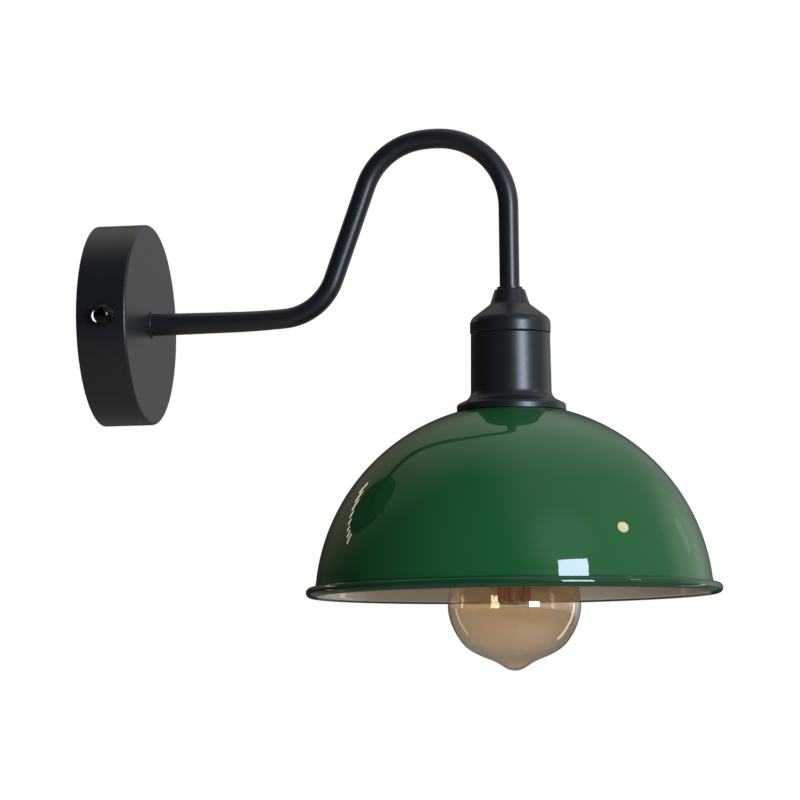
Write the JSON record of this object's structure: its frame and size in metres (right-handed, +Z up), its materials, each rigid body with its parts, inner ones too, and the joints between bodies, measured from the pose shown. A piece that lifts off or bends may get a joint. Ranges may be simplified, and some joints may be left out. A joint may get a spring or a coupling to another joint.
{
  "type": "gooseneck wall sconce",
  "caption": "Wall light with a round canopy, bent gooseneck arm, metal lampholder cover, domed enamelled shade and a screw-in filament bulb that unscrews.",
  "frame": {"origin": "centre of the canopy's back, on the wall", "axes": "+Y into the wall, so the lamp stands out along -Y; X along the wall; +Z up"},
  "size_m": [0.2032, 0.308, 0.2679],
  "materials": {
    "zinc_plated_steel": "bright zinc plate",
    "black_gloss_knob": "glossy black lacquer",
    "black_powder_coat": "fine satin powder coat",
    "brass_plain": "turned brass",
    "tinned_copper": "tinned",
    "earth_insulation": "green insulation with a yellow stripe",
    "white_nylon": "moulded nylon",
    "live_insulation": "brown silicone insulation",
    "neutral_insulation": "blue silicone insulation",
    "glazed_ceramic": "glazed white ceramic",
    "nickel_plated_brass": "nickel plate",
    "green_enamel": "gloss green enamel outside, off-white inside",
    "black_phenolic": "moulded phenolic",
    "solder": "soldered contact",
    "black_glass": "black contact glass",
    "gilt_cap_metal": "gilt bulb cap",
    "amber_glass": "amber tinted blown glass",
    "clear_glass": "clear drawn glass",
    "circuit_board": "coated laminate",
    "capacitor_sleeve": "shrunk sleeve",
    "nickel_wire": "drawn nickel wire",
    "orange_phosphor": "orange silicone phosphor coat"
  },
  "bodies": {
    "fixture": {"wall_bracket": "zinc_plated_steel", "ball_head_screws": "black_gloss_knob", "canopy": "black_powder_coat", "earth_screw": "brass_plain", "earth_washer": "zinc_plated_steel", "earth_tag": "tinned_copper", "earth_wire": "earth_insulation", "terminal_block": "white_nylon", "terminal_tubes": "brass_plain", "terminal_screws": "zinc_plated_steel", "block_screw": "zinc_plated_steel", "arm_tube": "black_powder_coat", "arm_collar": "black_powder_coat", "arm_star_washer": "zinc_plated_steel", "arm_nut": "zinc_plated_steel", "live_wire": "live_insulation", "neutral_wire": "neutral_insulation", "neck_ring": "black_powder_coat", "cover_cap": "black_powder_coat", "cover_shell": "black_powder_coat", "coupler": "brass_plain", "socket_saddle": "zinc_plated_steel", "saddle_nut": "zinc_plated_steel", "saddle_screws": "zinc_plated_steel", "socket_body": "glazed_ceramic", "socket_terminals": "brass_plain", "socket_terminal_screws": "brass_plain", "centre_contact": "brass_plain", "screw_shell": "nickel_plated_brass", "shade": "green_enamel", "shade_ring": "black_phenolic"},
    "bulb_nose": {"bulb_contact": "solder"},
    "bulb": {"bulb_insulator": "black_glass", "bulb_screw_cap": "gilt_cap_metal", "bulb_glass": "amber_glass", "bulb_stem": "clear_glass", "driver_board": "circuit_board", "driver_capacitor": "capacitor_sleeve", "lead_wires": "nickel_wire", "led_filaments": "orange_phosphor", "filament_star": "nickel_wire"}
  },
  "joints": [
    {"name": "bulb_travel", "type": "slide", "parent": "fixture", "child": "bulb_nose", "axis": [0, 0, -1], "range_m": [0, 0.0209]},
    {"name": "bulb_turn", "type": "hinge", "parent": "bulb_nose", "child": "bulb", "pos_m": [0, -0.20644, -0.0356], "axis": [0, 0, -1], "range_deg": [0, 2070]}
  ],
  "couplings": [
    {"joint": "bulb_travel", "follows": "bulb_turn", "m_per_rad": 0.00057757}
  ]
}
